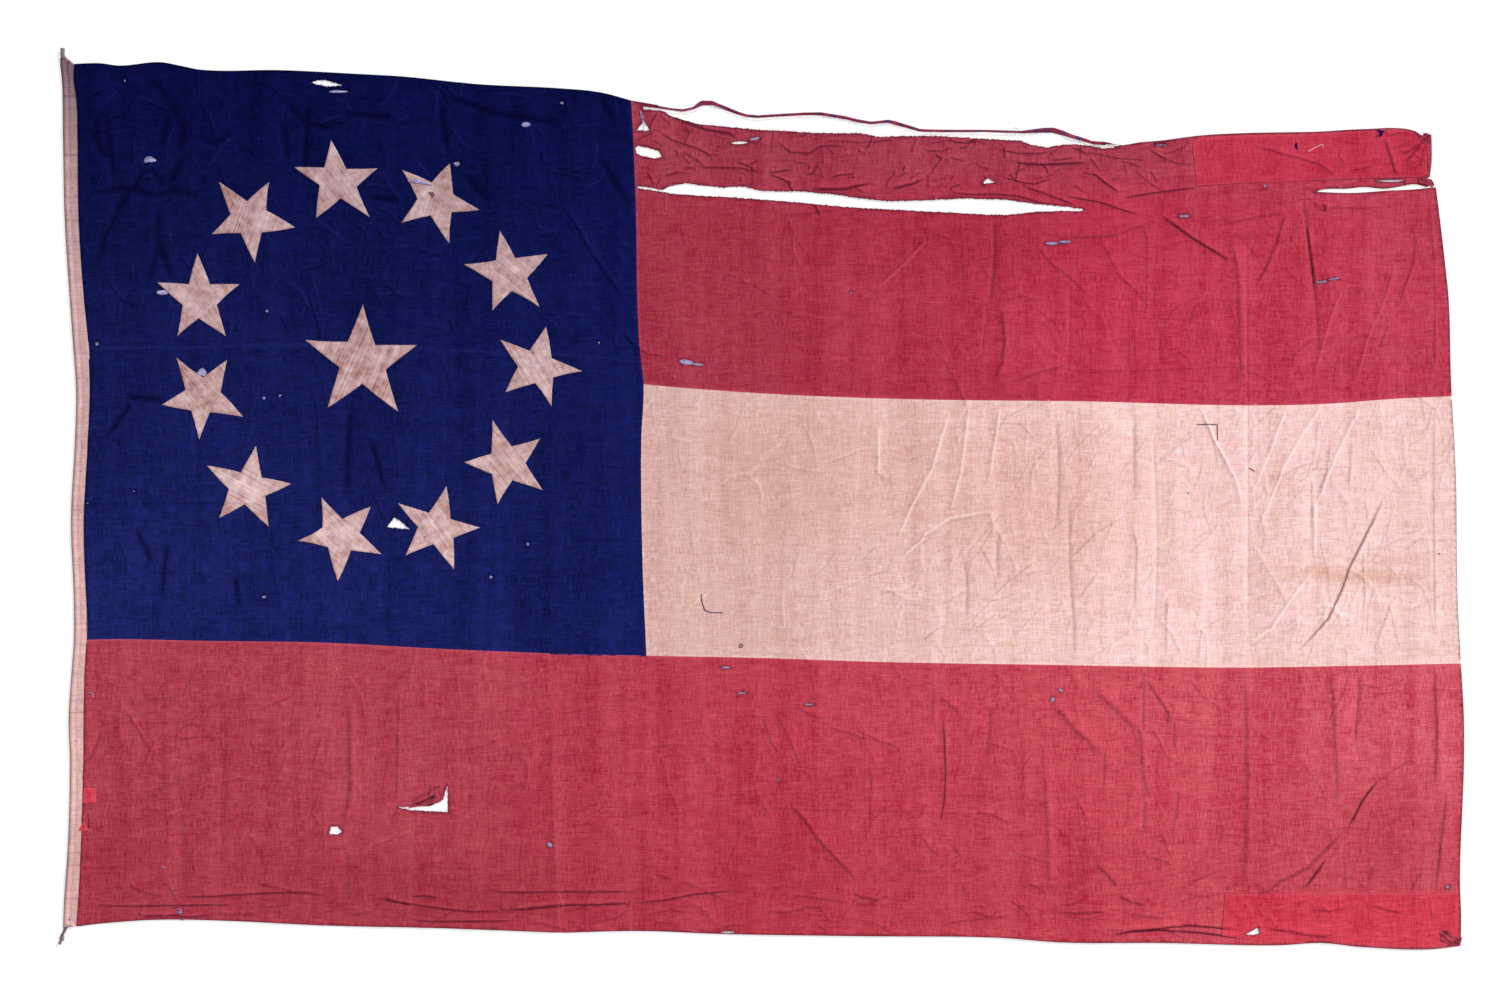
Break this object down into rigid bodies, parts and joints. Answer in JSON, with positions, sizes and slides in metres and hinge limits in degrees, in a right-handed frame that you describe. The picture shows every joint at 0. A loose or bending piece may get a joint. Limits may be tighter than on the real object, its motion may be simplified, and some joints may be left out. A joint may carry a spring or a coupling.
{
  "type": "tattered flag",
  "caption": "Worn cloth flag lying flat: navy canton with a ring of stars, red and pale bars, canvas heading with cord ends, torn hem, tears, folds and sewn patches.",
  "frame": {"origin": "middle of the flag's box in plan, on the surface it lies on", "axes": "+X along the fly away from the heading, +Y up the hoist, +Z out of the face"},
  "size_m": [2.4726, 1.5846, 0.0092],
  "materials": {
    "navy_bunting": "matte wool bunting, dusty and darned",
    "red_bunting": "matte wool bunting, faded in upright streaks",
    "undyed_bunting": "matte wool bunting, aged pink, stained",
    "fresh_red_bunting": "matte wool bunting, less faded",
    "canvas_heading": "matte canvas, soiled",
    "star_cotton": "matte cotton, yellowed and soiled",
    "hoist_cord": "matte twisted hemp"
  },
  "bodies": {
    "root": {"heading": "canvas_heading", "rope_end_top": "hoist_cord", "rope_tail_bottom": "hoist_cord", "rope_tail_knot": "hoist_cord", "canton_upper": "navy_bunting", "canton_lower": "navy_bunting", "top_bar": "red_bunting", "white_bar": "undyed_bunting", "bottom_bar_hoist": "red_bunting", "bottom_bar_fly": "red_bunting", "patch_top_fly": "fresh_red_bunting", "patch_bottom_fly": "fresh_red_bunting", "patch_hoist_square": "red_bunting", "patch_hoist_corner": "red_bunting", "star_01": "star_cotton", "star_02": "star_cotton", "star_03": "star_cotton", "star_04": "star_cotton", "star_05": "star_cotton", "star_06": "star_cotton", "star_07": "star_cotton", "star_08": "star_cotton", "star_09": "star_cotton", "star_10": "star_cotton", "star_11": "star_cotton", "star_centre": "star_cotton"}
  },
  "joints": []
}
